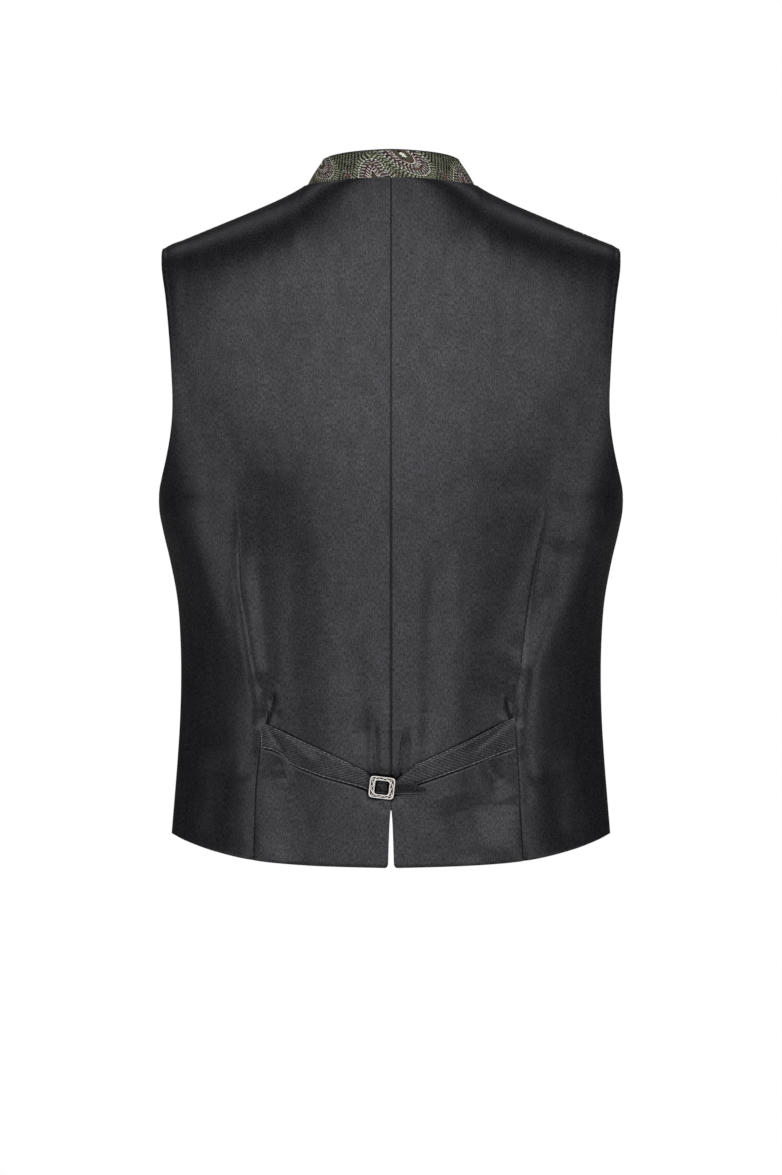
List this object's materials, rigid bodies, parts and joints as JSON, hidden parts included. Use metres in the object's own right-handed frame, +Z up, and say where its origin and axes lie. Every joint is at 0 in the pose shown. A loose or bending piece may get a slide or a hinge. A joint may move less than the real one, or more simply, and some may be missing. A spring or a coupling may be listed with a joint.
{
  "type": "waistcoat",
  "caption": "Man's waistcoat held open as if worn: satin back with centre seam, darts, cinch straps and buckle, patterned stand collar, and a buttoned patterned front.",
  "frame": {"origin": "middle of the neck opening, level with the points where the shoulder seams meet the collar, where a wearer's neck or a hanger holds the garment", "axes": "+Z up; the back faces +Y and the fronts face -Y; +X is the wearer's left"},
  "size_m": [0.385, 0.2551, 0.5926],
  "materials": {
    "satin": "black satin weave with a soft sheen",
    "brocade": "dark olive figured cloth with pale and mauve threads",
    "metal": "antiqued silver-coloured metal, dark in its recesses"
  },
  "bodies": {
    "root": {"back_left": "satin", "back_right": "satin", "front_left": "brocade", "front_right": "brocade", "collar": "brocade", "collar_facing": "satin", "strap_left": "satin", "strap_right": "satin", "buckle": "metal", "button_1": "metal", "button_2": "metal", "button_3": "metal", "button_4": "metal", "button_5": "metal", "button_6": "metal", "button_7": "metal"}
  },
  "joints": []
}
